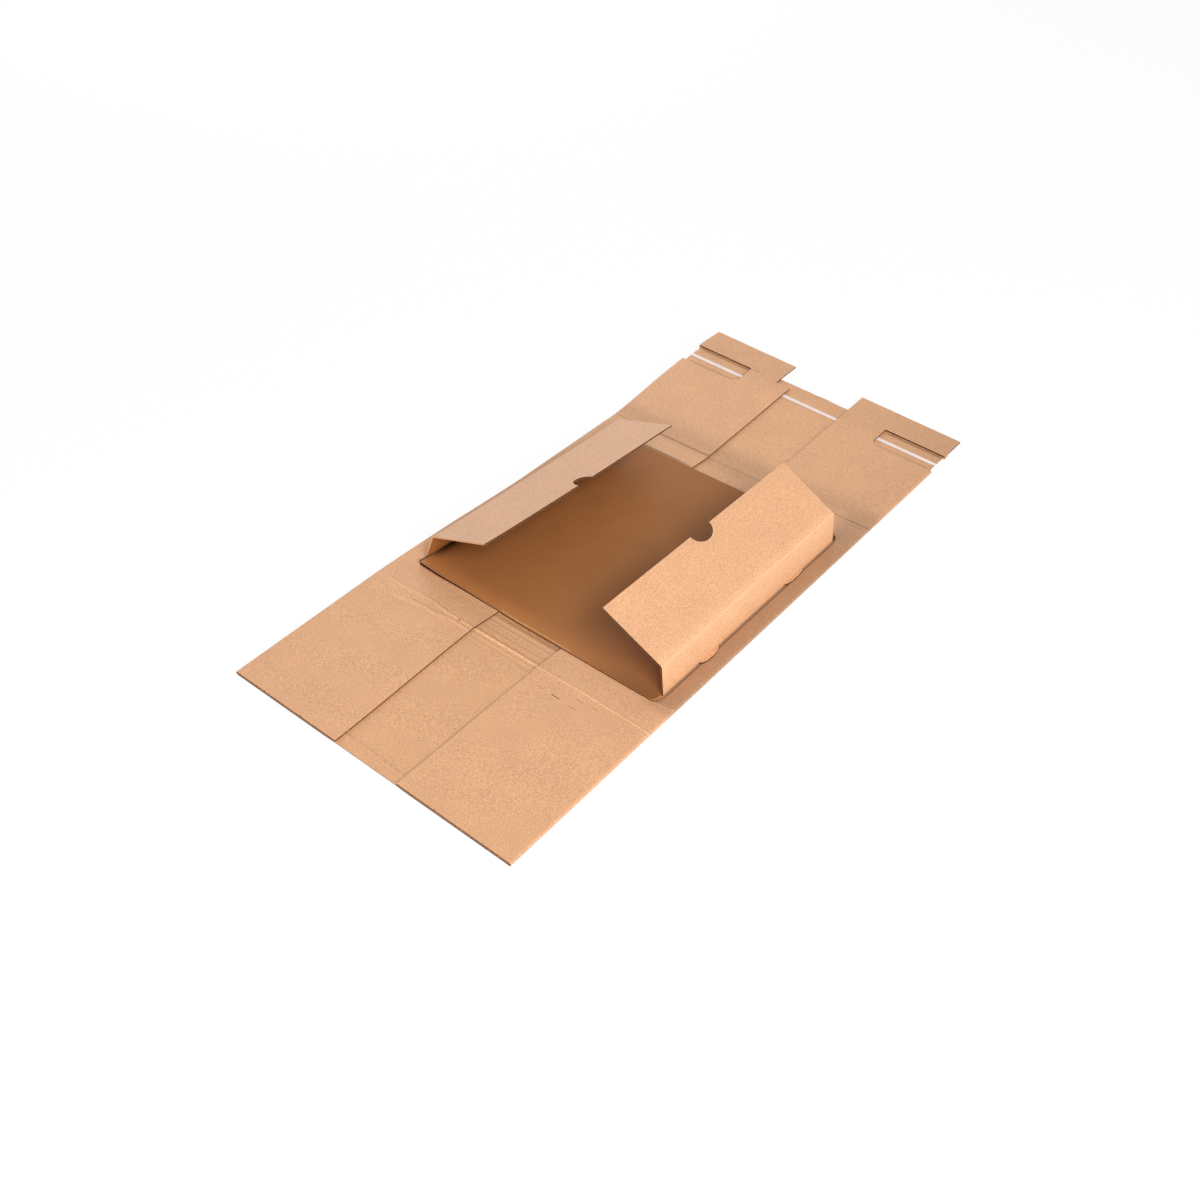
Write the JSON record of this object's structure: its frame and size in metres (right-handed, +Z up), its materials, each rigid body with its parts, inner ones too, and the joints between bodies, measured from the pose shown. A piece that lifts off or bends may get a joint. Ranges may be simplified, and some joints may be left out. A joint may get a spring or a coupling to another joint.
{
  "type": "book wrap mailer",
  "caption": "Corrugated board wrap mailer lying open: folded outer wrap with closure windows, glued tray with walls and top flaps, adhesive strip under a liner.",
  "frame": {"origin": "on the floor, under the middle of the wrap's length and width", "axes": "+X to the right across the wrap, +Y towards the closure end along the wrap, +Z up"},
  "size_m": [0.3108, 0.684, 0.0689],
  "materials": {
    "wrap_board": "natural kraft, matte",
    "tray_board": "natural kraft, matte",
    "adhesive": "tacky, translucent",
    "liner_paper": "siliconised, satin"
  },
  "bodies": {
    "root": {"outer_wrap": "wrap_board", "inner_tray": "tray_board", "adhesive_strip": "adhesive", "release_liner": "liner_paper"}
  },
  "joints": []
}
